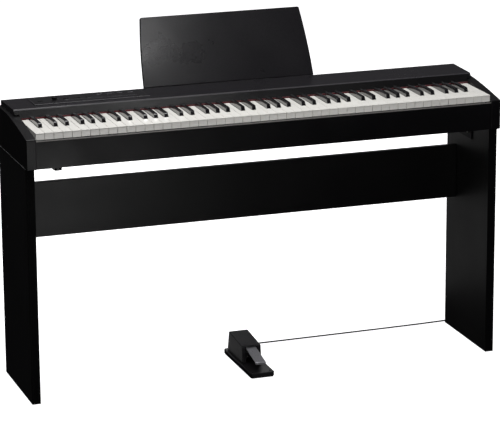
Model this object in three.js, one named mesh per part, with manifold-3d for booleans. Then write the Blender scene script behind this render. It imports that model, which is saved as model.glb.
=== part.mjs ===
// Digital piano on a two-board stand, with a separate damper pedal. Millimetres, +Z up.
// +X is the player's right, +Y runs from the player to the back of the piano.
// The origin is on the floor, under the middle of the box round the piano, its music rest and stand.
import * as THREE from "three";
import { mergeVertices } from "three/addons/utils/BufferGeometryUtils.js";
import Module from "manifold-3d";

const wasm = await Module();
wasm.setup();

// ---- Driving dimensions --------------------------------------------------------------------
// Heights are above the floor. Depths are first measured from the front of the white keys.
const GAP = 0.3;
const WHITE_PITCH = 23.5;
const WHITE_COUNT = 52;
const KEY_HALF_SPAN = (WHITE_PITCH * WHITE_COUNT) / 2;
const KEY_GAP = 1.0;
const KEY_TOP = 709;
const KEY_HEIGHT = 17.5;
const KEY_TAIL_END = 225;
const BLACK_WIDTH = 10.5;
const BLACK_FRONT = 58;
const BLACK_REAR = 148;
const BLACK_RISE = 11;
const BLACK_BACK_SLOPE = 5;
const SLOT_CLEARANCE = 1.2;
const KEY_AXIS_Y = 215;

const CHEEK_THICKNESS = 25;
const CHEEK_FRONT = -8;
const CHEEK_FRONT_TOP = 696;
const CHEEK_REAR_TOP = 721;
const CHEEK_LEVEL_FROM = 190;
const BODY_HALF = KEY_HALF_SPAN + 1.5 + CHEEK_THICKNESS;
const BODY_INNER = BODY_HALF - CHEEK_THICKNESS - GAP;
const BODY_REAR = 288;
const CASE_BOTTOM = 618;
const COVER_TOP = 734;
const COVER_FRONT = 165;
const COVER_REAR = 286;
const COVER_HALF_FRONT = 625;
const COVER_HALF_REAR = 628.5;
const COVER_WALL = 3;
const LIP_FOOT_Y = 152;
const LIP_FOOT_Z = 713;
const SLIP_FRONT = -4;
const SLIP_TOP = 690;

const LEG_THICKNESS = 22.5;
const LEG_HALF = BODY_HALF - 1;
const LEG_FRONT = 11;
const PANEL_FRONT = 223;
const PANEL_THICKNESS = 16;
const PANEL_BOTTOM = 378;
const PANEL_TOP = 524;

const REST_LEAN = THREE.MathUtils.degToRad(24);
const REST_LENGTH = 188;
const REST_THICKNESS = 9;
const REST_CENTRE_X = -9;
const REST_HALF_FOOT = 235.5;
const REST_HALF_TOP = 221.5;
const REST_FOOT_Y = BODY_REAR + 0.5;

const PEDAL_X = -16.5;
const PEDAL_FRONT = 12;
const PEDAL_REAR = 240;
const PEDAL_HALF = 33;
const PEDAL_BASE_TOP = 14;
const HOUSING_HALF = 26.5;
const LEVER_HALF = 14;
const CORD_RADIUS = 2;
const COIL_RADIUS = 20;
const COIL_LAYERS = 4;
const COIL_CENTRE = [656, 320];
const PLUG_X = 600;
const PLUG_Y = 304;
const PLUG_Z = 656;

const restTopRear = REST_FOOT_Y + REST_THICKNESS * Math.cos(REST_LEAN) + REST_LENGTH * Math.sin(REST_LEAN);
const ORIGIN_Y = (CHEEK_FRONT + restTopRear) / 2;

// ---- Finishes --------------------------------------------------------------------------------
function finish(color, roughness, metalness = 0) {
  return new THREE.MeshStandardMaterial({ color, roughness, metalness });
}

const satinBlack = finish(0x141416, 0.5);
const boardBlack = finish(0x0f0f10, 0.55);
const glossBlack = finish(0x08080a, 0.12);
const keyWhite = finish(0xf1efe6, 0.25);
const feltRed = finish(0x5a1016, 0.95);
const rubberBlack = finish(0x0c0c0c, 0.9);
const steel = finish(0xa8a9ac, 0.3, 1);
const brightSteel = finish(0xd0d1d4, 0.25, 1);
const boardGreen = finish(0x1f5a34, 0.6);

// ---- Solids ------------------------------------------------------------------------------------
const model = new THREE.Group();
model.position.set(0, -ORIGIN_Y, 0);

function add(name, geometry, material) {
  const mesh = new THREE.Mesh(geometry, material);
  mesh.name = name;
  model.add(mesh);
  return mesh;
}

function block(x0, x1, y0, y1, z0, z1) {
  const geometry = new THREE.BoxGeometry(x1 - x0, y1 - y0, z1 - z0);
  return geometry.translate((x0 + x1) / 2, (y0 + y1) / 2, (z0 + z1) / 2);
}

function outline(points) {
  return new THREE.Shape(points.map(([u, v]) => new THREE.Vector2(u, v)));
}

// An outline in X and Y, raised from z0 to z1.
function plan(shape, z0, z1, curveSegments = 8) {
  const options = { depth: z1 - z0, bevelEnabled: false, curveSegments };
  return new THREE.ExtrudeGeometry(shape, options).translate(0, 0, z0);
}

// An outline in Y and Z, drawn out along X from x0 to x1.
function sideways(shape, x0, x1, curveSegments = 8) {
  const geometry = plan(shape, x0, x1, curveSegments);
  const turn = new THREE.Matrix4().makeBasis(
    new THREE.Vector3(0, 1, 0),
    new THREE.Vector3(0, 0, 1),
    new THREE.Vector3(1, 0, 0),
  );
  return geometry.applyMatrix4(turn);
}

function solid(geometry) {
  const bare = geometry.clone();
  bare.deleteAttribute("normal");
  bare.deleteAttribute("uv");
  const merged = mergeVertices(bare, 1e-4);
  const vertProperties = new Float32Array(merged.attributes.position.array);
  const triVerts = new Uint32Array(merged.index.array);
  return new wasm.Manifold(new wasm.Mesh({ numProp: 3, vertProperties, triVerts }));
}

function geometryOf(body) {
  const mesh = body.getMesh();
  const geometry = new THREE.BufferGeometry();
  geometry.setAttribute("position", new THREE.BufferAttribute(mesh.vertProperties, 3));
  geometry.setIndex(new THREE.BufferAttribute(mesh.triVerts, 1));
  geometry.computeVertexNormals();
  return geometry;
}

function join(geometries) {
  return geometries.map(solid).reduce((whole, piece) => whole.add(piece));
}

function cut(geometry, holes) {
  const left = holes.map(solid).reduce((whole, hole) => whole.subtract(hole), solid(geometry));
  return geometryOf(left);
}

// A round post along an axis, from a to b.
function post(axis, radius, a, b, centre, sides = 24) {
  const geometry = new THREE.CylinderGeometry(radius, radius, b - a, sides);
  const middle = (a + b) / 2;
  if (axis === "x") return geometry.rotateZ(Math.PI / 2).translate(middle, centre[0], centre[1]);
  if (axis === "y") return geometry.translate(centre[0], middle, centre[1]);
  return geometry.rotateX(Math.PI / 2).translate(centre[0], centre[1], middle);
}

function roundedPlan(x0, x1, y0, y1, r) {
  const shape = new THREE.Shape();
  shape.moveTo(x0 + r, y0);
  shape.lineTo(x1 - r, y0);
  shape.absarc(x1 - r, y0 + r, r, -Math.PI / 2, 0);
  shape.lineTo(x1, y1 - r);
  shape.absarc(x1 - r, y1 - r, r, 0, Math.PI / 2);
  shape.lineTo(x0 + r, y1);
  shape.absarc(x0 + r, y1 - r, r, Math.PI / 2, Math.PI);
  shape.lineTo(x0, y0 + r);
  shape.absarc(x0 + r, y0 + r, r, Math.PI, 1.5 * Math.PI);
  return shape;
}

// ---- Stand -------------------------------------------------------------------------------------
function stand() {
  const legTop = CASE_BOTTOM - GAP;
  const legInner = LEG_HALF - LEG_THICKNESS;
  const panelHalf = legInner - GAP;
  const panelRear = PANEL_FRONT + PANEL_THICKNESS;
  add("modesty_panel", block(-panelHalf, panelHalf, PANEL_FRONT, panelRear, PANEL_BOTTOM, PANEL_TOP), boardBlack);
  for (const [side, name] of [[-1, "left"], [1, "right"]]) {
    const inner = side * legInner;
    const outer = side * LEG_HALF;
    const board = block(Math.min(inner, outer), Math.max(inner, outer), LEG_FRONT, BODY_REAR, 0, legTop);
    add(`${name}_side_board`, board, boardBlack);
    add(`${name}_corner_bracket`, cornerBracket(side, legInner - GAP, legTop), steel);
  }
}

// A steel angle that bolts the side board to the case above it.
function cornerBracket(side, reach, top) {
  const sheet = 2.5;
  const flange = 36;
  const front = 120;
  const rear = 260;
  const upright = [reach - sheet, reach, front, rear, top - 55, top];
  const shelf = [reach - flange, reach - 0.5, front, rear, top - sheet, top];
  const along = ([x0, x1, ...rest]) => (side > 0 ? block(x0, x1, ...rest) : block(-x1, -x0, ...rest));
  return geometryOf(join([along(upright), along(shelf)]));
}

// ---- Piano case ----------------------------------------------------------------------------------
function cheekShape() {
  const radius = 4;
  const shape = new THREE.Shape();
  shape.moveTo(CHEEK_FRONT, CASE_BOTTOM);
  shape.lineTo(BODY_REAR, CASE_BOTTOM);
  shape.lineTo(BODY_REAR, CHEEK_REAR_TOP);
  shape.lineTo(CHEEK_LEVEL_FROM, CHEEK_REAR_TOP);
  shape.quadraticCurveTo(110, 716, CHEEK_FRONT + radius, CHEEK_FRONT_TOP);
  shape.quadraticCurveTo(CHEEK_FRONT, CHEEK_FRONT_TOP - 0.5, CHEEK_FRONT, CHEEK_FRONT_TOP - radius);
  return shape;
}

function cheeks() {
  const inner = BODY_HALF - CHEEK_THICKNESS;
  add("left_cheek", sideways(cheekShape(), -BODY_HALF, -inner), satinBlack);
  add("right_cheek", sideways(cheekShape(), inner, BODY_HALF), satinBlack);
}

function bottomBoard() {
  const top = CASE_BOTTOM + 12;
  const slots = [];
  for (const centre of [-SPEAKER_X, SPEAKER_X]) {
    for (let row = -3; row <= 3; row += 1) {
      const y = SPEAKER_Y + row * 10;
      slots.push(block(centre - 34, centre + 34, y - 2.5, y + 2.5, CASE_BOTTOM - 1, top + 1));
    }
  }
  const rear = BODY_REAR - 4.6;
  add("bottom_board", cut(block(-BODY_INNER, BODY_INNER, -0.7, rear, CASE_BOTTOM, top), slots), satinBlack);
}

const SPEAKER_X = 400;
const SPEAKER_Y = 125;

function speakers() {
  const foot = CASE_BOTTOM + 12 + GAP;
  const profile = [[0, 0], [44, 0], [44, 4], [40, 4], [26, 22], [26, 36], [0, 36]];
  for (const [side, name] of [[-1, "left"], [1, "right"]]) {
    const lathe = new THREE.LatheGeometry(profile.map(([r, z]) => new THREE.Vector2(r, z)), 32);
    add(`${name}_speaker`, lathe.rotateX(Math.PI / 2).translate(side * SPEAKER_X, SPEAKER_Y, foot), rubberBlack);
  }
}

function keySlip() {
  const rear = SLIP_FRONT + 3;
  const shape = outline([
    [SLIP_FRONT, CASE_BOTTOM],
    [rear, CASE_BOTTOM],
    [rear, SLIP_TOP - 0.8],
    [rear - 0.8, SLIP_TOP],
    [SLIP_FRONT + 1.2, SLIP_TOP],
    [SLIP_FRONT, SLIP_TOP - 1.5],
  ]);
  add("key_slip", sideways(shape, -BODY_INNER, BODY_INNER), satinBlack);
}

const JACK_WINDOW = [562, 608, 644, 668];

function rearPanel() {
  const [x0, x1, z0, z1] = JACK_WINDOW;
  const front = BODY_REAR - 4;
  const panel = block(-BODY_INNER, BODY_INNER, front, BODY_REAR - 0.5, CASE_BOTTOM, CHEEK_REAR_TOP - GAP);
  const window = block(x0, x1, front - 1, BODY_REAR + 1, z0, z1);
  add("rear_panel", cut(panel, [window]), satinBlack);
}

function jackPlate() {
  const [x0, x1, z0, z1] = JACK_WINDOW;
  const front = BODY_REAR - 0.5 + GAP;
  const plate = block(x0 - 4, x1 + 2, front, front + 2.7, z0 - 4, z1 + 4);
  const pedalJack = post("y", 3.7, front - 1, front + 4, [PLUG_X, PLUG_Z]);
  const powerInlet = post("y", 4.5, front - 1, front + 4, [573, PLUG_Z]);
  add("jack_plate", cut(plate, [pedalJack, powerInlet]), satinBlack);
}

// Two headphone sockets in a small box under the front left of the case.
function headphoneBox() {
  const top = CASE_BOTTOM - GAP;
  const shape = outline([[-571, top], [-567, top - 6], [-563, top - 8.5], [-546, top - 8.5], [-545, top]]);
  const body = plan(shape, -52, -2).rotateX(Math.PI / 2);
  const sockets = [-561, -550.5].map((x) => post("y", 3.3, 0, 20, [x, top - 4.3]));
  add("headphone_jack_box", cut(body, sockets), satinBlack);
}

const PANEL_STRIP = { x0: -563, x1: -258, y0: 192, y1: 268 };

function topCover() {
  const ledge = CHEEK_REAR_TOP + 0.5;
  const lipSlope = (COVER_FRONT - LIP_FOOT_Y) / (COVER_TOP - LIP_FOOT_Z);
  const lipAt = (z) => LIP_FOOT_Y + (z - LIP_FOOT_Z) * lipSlope;
  const wide = COVER_HALF_REAR + 1;
  const inner = BODY_INNER;
  const deck = outline([[lipAt(ledge), ledge], [COVER_REAR, ledge], [COVER_REAR, COVER_TOP], [COVER_FRONT, COVER_TOP]]);
  const lip = outline([
    [LIP_FOOT_Y, LIP_FOOT_Z],
    [LIP_FOOT_Y + COVER_WALL, LIP_FOOT_Z],
    [lipAt(ledge + 1) + COVER_WALL, ledge + 1],
    [lipAt(ledge + 1), ledge + 1],
  ]);
  const under = COVER_TOP - COVER_WALL;
  const hollow = outline([
    [lipAt(ledge - 1) + COVER_WALL, ledge - 1],
    [COVER_REAR - COVER_WALL, ledge - 1],
    [COVER_REAR - COVER_WALL, under],
    [lipAt(under) + COVER_WALL, under],
  ]);
  const edge = (y) => COVER_HALF_FRONT + ((COVER_HALF_REAR - COVER_HALF_FRONT) * (y - COVER_FRONT)) / (COVER_REAR - COVER_FRONT);
  const front = LIP_FOOT_Y - 5;
  const rear = COVER_REAR + 5;
  const taper = outline([[-edge(front), front], [edge(front), front], [edge(rear), rear], [-edge(rear), rear]]);
  const { x0, x1, y0, y1 } = PANEL_STRIP;
  const tray = block(x0, x1, y0, y1, COVER_TOP - 1.8, COVER_TOP + 1);
  const window = block(x0 + 4, x1 - 4, y0 + 4, y1 - 4, COVER_TOP - 6, COVER_TOP + 1);
  const shell = join([sideways(deck, -wide, wide), sideways(lip, -inner, inner)])
    .subtract(solid(sideways(hollow, -inner, inner)))
    .intersect(solid(plan(taper, LIP_FOOT_Z - 5, COVER_TOP + 5)))
    .subtract(solid(tray))
    .subtract(solid(window));
  add("top_cover", geometryOf(shell), satinBlack);
}

function feltStrip() {
  const foot = KEY_TOP + 0.7;
  add("felt_strip", block(-BODY_INNER, BODY_INNER, LIP_FOOT_Y - 1.5, LIP_FOOT_Y + 2, foot, LIP_FOOT_Z - GAP), feltRed);
}

// ---- Controls --------------------------------------------------------------------------------------
const POWER = { x: -540, y: 226, half: [6, 3] };
const KNOB = { x: -500, y: 236, radius: 7 };
const FUNCTIONS = [-470, -440, -410].map((x) => ({ x, y: 232, half: [7, 3] }));
const STRIP_TOP = COVER_TOP + 2.4;

function buttonSolid({ x, y, half: [a, b] }) {
  return block(x - a, x + a, y - b, y + b, COVER_TOP - 14.5, STRIP_TOP + 1.8);
}

function controls() {
  const { x0, x1, y0, y1 } = PANEL_STRIP;
  const sheet = block(x0 + GAP, x1 - GAP, y0 + GAP, y1 - GAP, COVER_TOP - 1.8 + GAP, STRIP_TOP);
  const room = 0.5;
  const holes = [POWER, ...FUNCTIONS].map(({ x, y, half: [a, b] }) =>
    block(x - a - room, x + a + room, y - b - room, y + b + room, COVER_TOP - 5, STRIP_TOP + 1),
  );
  holes.push(post("z", 3.5, COVER_TOP - 5, STRIP_TOP + 1, [KNOB.x, KNOB.y]));
  add("control_strip", cut(sheet, holes), satinBlack);
  add("power_button", buttonSolid(POWER), satinBlack);
  FUNCTIONS.forEach((button, i) => add(`function_button_${i + 1}`, buttonSolid(button), satinBlack));
  const profile = [[0, -13], [3, -13], [3, 0.5], [7, 0.5], [KNOB.radius, 5.5], [KNOB.radius - 0.8, 6.3], [0, 6.3]];
  const lathe = new THREE.LatheGeometry(profile.map(([r, z]) => new THREE.Vector2(r, z)), 32);
  add("volume_knob", lathe.rotateX(Math.PI / 2).translate(KNOB.x, KNOB.y, STRIP_TOP), satinBlack);
  add("main_board", block(x0 + 8, x1 - 8, 230 - 55, 230 + 45, COVER_TOP - 18, COVER_TOP - 16.4), boardGreen);
}

// ---- Keyboard ----------------------------------------------------------------------------------------
const BLACK_AFTER = { 0: -3, 1: 3, 3: -4, 4: 0, 5: 4 };
const FIRST_NOTE = 5;

// White key i counts from the lowest A. Its note is 0 for C up to 6 for B.
const noteOf = (i) => (i + FIRST_NOTE) % 7;
const leftEdge = (i) => -KEY_HALF_SPAN + i * WHITE_PITCH;

// Where a black key stands after white key i, or null where there is none.
function blackAfter(i) {
  const shift = BLACK_AFTER[noteOf(i)];
  if (i < 0 || i >= WHITE_COUNT - 1 || shift === undefined) return null;
  return leftEdge(i + 1) + shift;
}

function whiteSolid(i) {
  const x0 = leftEdge(i) + KEY_GAP / 2;
  const x1 = leftEdge(i + 1) - KEY_GAP / 2;
  const half = BLACK_WIDTH / 2 + SLOT_CLEARANCE;
  const before = blackAfter(i - 1);
  const after = blackAfter(i);
  const tail0 = before === null ? x0 : before + half;
  const tail1 = after === null ? x1 : after - half;
  const notch = BLACK_FRONT - 2;
  const points = [[x0, 0], [x1, 0]];
  if (after !== null) points.push([x1, notch]);
  if (after !== null) points.push([tail1, notch]);
  points.push([tail1, KEY_TAIL_END]);
  points.push([tail0, KEY_TAIL_END]);
  if (before !== null) points.push([tail0, notch]);
  if (before !== null) points.push([x0, notch]);
  return plan(outline(points), KEY_TOP - KEY_HEIGHT, KEY_TOP);
}

const BLACK_FOOT = KEY_TOP - 11.5;

function blackSolid(x) {
  const crown = KEY_TOP + BLACK_RISE;
  const shape = outline([
    [BLACK_FRONT, BLACK_FOOT],
    [KEY_TAIL_END, BLACK_FOOT],
    [KEY_TAIL_END, KEY_TOP],
    [BLACK_REAR, KEY_TOP],
    [BLACK_REAR, crown],
    [BLACK_FRONT + BLACK_BACK_SLOPE, crown],
    [BLACK_FRONT, KEY_TOP],
  ]);
  return sideways(shape, x - BLACK_WIDTH / 2, x + BLACK_WIDTH / 2);
}

const RAIL_FRONT = KEY_AXIS_Y - 9;
const RAIL_REAR = KEY_AXIS_Y + 9;

// The white keys of one register, joined at the back by a low rail.
function whiteRegister(name, first, last) {
  const keys = [];
  for (let i = first; i <= last; i += 1) keys.push(whiteSolid(i));
  const foot = KEY_TOP - KEY_HEIGHT;
  keys.push(block(leftEdge(first) + 2, leftEdge(last + 1) - 2, RAIL_FRONT, RAIL_REAR, foot, foot + 4.5));
  add(`${name}_white_keys`, geometryOf(join(keys)), keyWhite);
}

// The black keys of one register, joined at the back by a high rail.
function blackRegister(name, first, last) {
  const places = [];
  for (let i = first; i <= last; i += 1) {
    if (blackAfter(i) !== null) places.push(blackAfter(i));
  }
  const half = BLACK_WIDTH / 2;
  const keys = places.map(blackSolid);
  const risers = places.map((x) => block(x - half, x + half, RAIL_FRONT, RAIL_REAR, KEY_TOP - 1, KEY_TOP + 5));
  const rail = block(places[0] - half, places.at(-1) + half, RAIL_FRONT, RAIL_REAR, KEY_TOP + 1.5, KEY_TOP + 5);
  add(`${name}_black_keys`, geometryOf(join([...keys, ...risers, rail])), glossBlack);
}

const OCTAVE = ["c", "d", "e", "f", "g", "a", "b"];
const MIDDLE_C = 23;

function middleOctave() {
  OCTAVE.forEach((letter, n) => {
    const i = MIDDLE_C + n;
    add(`key_${letter}4`, whiteSolid(i), keyWhite);
    if (blackAfter(i) !== null) add(`key_${letter}4_sharp`, blackSolid(blackAfter(i)), glossBlack);
  });
}

function keyboard() {
  const registers = [["low", 0, 8], ["tenor", 9, 22], ["treble", 30, 43], ["high", 44, 51]];
  for (const [name, first, last] of registers) {
    whiteRegister(name, first, last);
    blackRegister(name, first, last);
  }
  middleOctave();
  const floor = CASE_BOTTOM + 12 + GAP;
  const foot = KEY_TOP - KEY_HEIGHT;
  add("key_guide_rail", block(-BODY_INNER, BODY_INNER, 22, 42, floor, foot - 10.5), steel);
  add("key_pivot_rail", block(-BODY_INNER, BODY_INNER, KEY_AXIS_Y - 5, KEY_AXIS_Y + 5, floor, foot - 0.5), steel);
}

// ---- Music rest ----------------------------------------------------------------------------------------
function restShape() {
  const bulge = 5;
  const corner = 6;
  const shape = new THREE.Shape();
  const middle = (REST_HALF_FOOT + REST_HALF_TOP) / 2 + bulge;
  shape.moveTo(-REST_HALF_FOOT, 0);
  shape.lineTo(REST_HALF_FOOT, 0);
  shape.quadraticCurveTo(middle, REST_LENGTH / 2, REST_HALF_TOP, REST_LENGTH - corner);
  shape.quadraticCurveTo(REST_HALF_TOP, REST_LENGTH, REST_HALF_TOP - corner, REST_LENGTH);
  shape.lineTo(-REST_HALF_TOP + corner, REST_LENGTH);
  shape.quadraticCurveTo(-REST_HALF_TOP, REST_LENGTH, -REST_HALF_TOP, REST_LENGTH - corner);
  shape.quadraticCurveTo(-middle, REST_LENGTH / 2, -REST_HALF_FOOT, 0);
  return shape;
}

function musicRest() {
  const up = [Math.sin(REST_LEAN), Math.cos(REST_LEAN)];
  const back = [Math.cos(REST_LEAN) * REST_THICKNESS, -Math.sin(REST_LEAN) * REST_THICKNESS];
  const footY = REST_FOOT_Y + back[0];
  const footZ = COVER_TOP + back[1];
  const plate = plan(restShape(), 0, REST_THICKNESS, 10);
  plate.rotateX(Math.PI / 2 - REST_LEAN).translate(REST_CENTRE_X, footY, footZ);
  add("music_rest", plate, satinBlack);

  const reach = 58;
  const sheet = 3;
  const along = (t, off) => [
    footY + off * Math.cos(REST_LEAN) + t * up[0],
    footZ - off * Math.sin(REST_LEAN) + t * up[1],
  ];
  const shape = outline([
    [BODY_REAR, 690],
    [BODY_REAR + sheet, 690],
    [BODY_REAR + sheet, 714],
    along(0, GAP + sheet),
    along(reach, GAP + sheet),
    along(reach, GAP),
    along(-0.5, GAP),
    [REST_FOOT_Y - 0.2, COVER_TOP - 0.5],
    [BODY_REAR, COVER_TOP - 1],
  ]);
  for (const [x, name] of [[-150, "left"], [132, "right"]]) {
    add(`${name}_rest_bracket`, sideways(shape, x - 15, x + 15), steel);
  }
}

// ---- Damper pedal ------------------------------------------------------------------------------------------
function pedalCase() {
  const base = roundedPlan(-PEDAL_HALF, PEDAL_HALF, PEDAL_FRONT, PEDAL_REAR, 8);
  const sole = roundedPlan(-PEDAL_HALF + 2, PEDAL_HALF - 2, PEDAL_FRONT + 2, PEDAL_REAR - 2, 6);
  add("pedal_sole", plan(sole, 0, 1.7, 5).translate(PEDAL_X, 0, 0), rubberBlack);
  add("pedal_base", plan(base, 2, PEDAL_BASE_TOP, 5).translate(PEDAL_X, 0, 0), satinBlack);

  const foot = PEDAL_BASE_TOP + GAP;
  const wall = 3;
  const outer = outline([[100, foot], [226, foot], [213, 69.6], [107, 60], [104, 57]]);
  const inner = outline([[104, foot - 1], [222.4, foot - 1], [210.2, 66.3], [108, 57]]);
  const mouth = block(-LEVER_HALF - 1.5, LEVER_HALF + 1.5, 98, 112, foot - 1, 57);
  const hollow = sideways(inner, -HOUSING_HALF + wall, HOUSING_HALF - wall);
  const housing = cut(sideways(outer, -HOUSING_HALF, HOUSING_HALF), [hollow, mouth]);
  add("pedal_housing", housing.translate(PEDAL_X, 0, 0), satinBlack);
}

const LEVER_AXIS = [176, 48.6];

function pedalLever() {
  const shape = outline([
    [28, 31], [31, 31], [31, 35.6], [107.6, 51.5], [188, 51.5],
    [188, 54.5], [107, 54.5], [30, 38.5], [28, 37],
  ]);
  add("pedal_lever", sideways(shape, PEDAL_X - LEVER_HALF, PEDAL_X + LEVER_HALF), brightSteel);
  const reach = HOUSING_HALF - 3 - GAP;
  add("pedal_pivot_pin", post("x", 2.5, PEDAL_X - reach, PEDAL_X + reach, LEVER_AXIS, 20), steel);
}

class Helix extends THREE.Curve {
  constructor(radius, height, turns) {
    super();
    Object.assign(this, { radius, height, turns });
  }

  getPoint(t, target = new THREE.Vector3()) {
    const angle = 2 * Math.PI * this.turns * t;
    return target.set(this.radius * Math.cos(angle), this.radius * Math.sin(angle), this.height * t);
  }
}

function ring(radius, sides) {
  const corner = (_, k) => [radius * Math.cos((2 * Math.PI * k) / sides), radius * Math.sin((2 * Math.PI * k) / sides)];
  return outline(Array.from({ length: sides }, corner));
}

function pedalSpring() {
  const wire = 0.9;
  const turns = 6;
  const foot = PEDAL_BASE_TOP + 0.5 + wire;
  const height = LEVER_AXIS[1] + 2.9 - 0.6 - wire - foot;
  const extrudePath = new Helix(7, height, turns);
  const coil = new THREE.ExtrudeGeometry(ring(wire, 6), { steps: turns * 12, bevelEnabled: false, extrudePath });
  add("pedal_spring", coil.translate(PEDAL_X, 138, foot), steel);
}

// ---- Pedal cord ------------------------------------------------------------------------------------------------
// From the pedal along the floor to the coil behind the right side board.
const FLOOR_ROUTE = [
  [-16.5, 262.3, 8], [-16.3, 267, 7.2], [-15, 272, 5.4], [-12, 276.5, 3.6], [-7, 280, 2.5], [0, 282.2, 2.1],
  [10, 283.2, 2], [30, 283.8, 2], [60, 284.4, 2], [110, 285, 2], [170, 285.8, 2], [240, 287, 2],
  [310, 288.2, 2], [380, 289.6, 2], [450, 291.2, 2], [510, 293, 2], [560, 295, 2], [600, 297.4, 2],
  [625, 299.2, 2], [636, 299.9, 2], [643, 300, 2],
];
// From the coil up behind the side board to the plug.
const RISE_ROUTE = [
  [636, 306.8, 14], [636, 304.4, 14.3], [636, 301, 15.8], [636, 298.2, 18.6], [636, 296.6, 22.6], [636, 296.2, 30],
  [636, 296.6, 60], [636, 298, 140], [636, 300, 250], [636, 301.8, 360], [636, 303.2, 470], [636, 304, 580],
  [636, 304, 636], [635.6, 304, 643], [633.6, 304, 649.5], [629.8, 304, 654.2], [626, 304, 655.8],
  [623, 304, 656],
];

function cordTube(name, route, steps) {
  const extrudePath = new THREE.CatmullRomCurve3(route.map((p) => new THREE.Vector3(...p)));
  const tube = new THREE.ExtrudeGeometry(ring(CORD_RADIUS, 8), { steps, bevelEnabled: false, extrudePath });
  add(name, tube, rubberBlack);
}

function pedalCord() {
  cordTube("pedal_cord_floor", FLOOR_ROUTE, 44);
  cordTube("pedal_cord_rise", RISE_ROUTE, 36);
  const inside = COIL_RADIUS - CORD_RADIUS;
  const outside = COIL_RADIUS + CORD_RADIUS;
  const height = 2 * CORD_RADIUS * COIL_LAYERS;
  const profile = [[inside, 0], [outside, 0], [outside, height], [inside, height], [inside, 0]];
  const lathe = new THREE.LatheGeometry(profile.map(([r, z]) => new THREE.Vector2(r, z)), 32);
  add("pedal_cord_coil", lathe.rotateX(Math.PI / 2).translate(...COIL_CENTRE, 0), rubberBlack);
  const relief = [[0, 0], [4.5, 0], [4.5, 3], [3.2, 6], [2.6, 21.5], [0, 21.5]];
  const sleeve = new THREE.LatheGeometry(relief.map(([r, y]) => new THREE.Vector2(r, y)), 20);
  add("pedal_strain_relief", sleeve.translate(PEDAL_X, PEDAL_REAR + GAP, 8), rubberBlack);
}

// A right-angled plug: its tip goes in along Y and its handle lies along X.
function pedalPlug() {
  const face = BODY_REAR - 0.5 + GAP + 2.7;
  const tip = post("y", 3.1, face - 18, face + 2, [PLUG_X, PLUG_Z], 20);
  const collar = post("y", 6, face + GAP, PLUG_Y, [PLUG_X, PLUG_Z], 20);
  const handle = post("x", 5.5, PLUG_X - 6, PLUG_X + 15, [PLUG_Y, PLUG_Z], 20);
  const sleeve = post("x", 3.4, PLUG_X + 14, 622.7, [PLUG_Y, PLUG_Z], 20);
  add("pedal_plug", geometryOf(join([tip, collar, handle, sleeve])), rubberBlack);
}

stand();
bottomBoard();
cheeks();
keySlip();
rearPanel();
jackPlate();
headphoneBox();
speakers();
topCover();
feltStrip();
controls();
keyboard();
musicRest();
pedalCase();
pedalLever();
pedalSpring();
pedalCord();
pedalPlug();

export default model;
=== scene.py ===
"""The looks of a digital piano on a two-board stand, with its damper pedal. Metres, +Z up."""
import math

import bmesh
import bpy
from mathutils import Matrix, Vector


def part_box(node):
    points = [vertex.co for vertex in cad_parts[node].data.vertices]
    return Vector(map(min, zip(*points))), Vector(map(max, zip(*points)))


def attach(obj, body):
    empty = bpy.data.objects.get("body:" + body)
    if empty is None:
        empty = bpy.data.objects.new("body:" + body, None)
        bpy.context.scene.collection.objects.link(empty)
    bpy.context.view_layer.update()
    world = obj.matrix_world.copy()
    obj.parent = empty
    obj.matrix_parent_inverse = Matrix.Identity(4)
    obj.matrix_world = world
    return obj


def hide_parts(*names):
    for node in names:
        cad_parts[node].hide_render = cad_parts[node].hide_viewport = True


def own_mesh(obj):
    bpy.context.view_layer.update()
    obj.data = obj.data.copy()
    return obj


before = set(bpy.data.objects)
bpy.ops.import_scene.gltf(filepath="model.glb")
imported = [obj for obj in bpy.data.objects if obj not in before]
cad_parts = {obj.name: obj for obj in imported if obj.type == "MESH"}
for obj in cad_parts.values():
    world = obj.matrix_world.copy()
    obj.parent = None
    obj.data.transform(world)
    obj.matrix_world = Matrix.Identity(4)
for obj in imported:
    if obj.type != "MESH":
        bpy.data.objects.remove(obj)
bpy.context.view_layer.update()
MM = 0.001
WELD_GAP = 0.02 * MM
FLAT_ANGLE = math.radians(1)
ON_PLANE = 0.1 * MM


# ---- Camera, floor and light -----------------------------------------------------------------

CAMERA_PLACE = (-2.1821, -6.4368, 2.2748)
CAMERA_AZIMUTH = -18.797
CAMERA_ELEVATION = 15.363
CAMERA_ROLL = -0.372
CAMERA_LENS = 192.94
WORLD_LOW = 0.008
WORLD_HIGH = 0.075
WORLD_TINT = (1.0, 0.97, 1.04, 1)


def make_camera():
    data = bpy.data.cameras.new("camera")
    data.lens = CAMERA_LENS
    data.sensor_width = 36
    data.clip_end = 60
    cam = bpy.data.objects.new("camera", data)
    bpy.context.collection.objects.link(cam)
    a, e = math.radians(CAMERA_AZIMUTH), math.radians(CAMERA_ELEVATION)
    back = Vector((math.sin(a) * math.cos(e), -math.cos(a) * math.cos(e), math.sin(e)))
    turn = (-back).to_track_quat("-Z", "Y").to_matrix().to_4x4()
    roll = Matrix.Rotation(math.radians(CAMERA_ROLL), 4, "Z")
    cam.matrix_world = Matrix.Translation(CAMERA_PLACE) @ turn @ roll
    bpy.context.scene.camera = cam


def softbox(name, place, target, size, power, tint=(1, 1, 1)):
    data = bpy.data.lights.new(name, "AREA")
    data.shape = "RECTANGLE"
    data.size, data.size_y = size
    data.energy = power
    data.color = tint
    lamp = bpy.data.objects.new(name, data)
    bpy.context.collection.objects.link(lamp)
    lamp.location = place
    lamp.rotation_mode = "QUATERNION"
    lamp.rotation_quaternion = (Vector(target) - Vector(place)).to_track_quat("-Z", "Y")
    lamp.visible_camera = False


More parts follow.
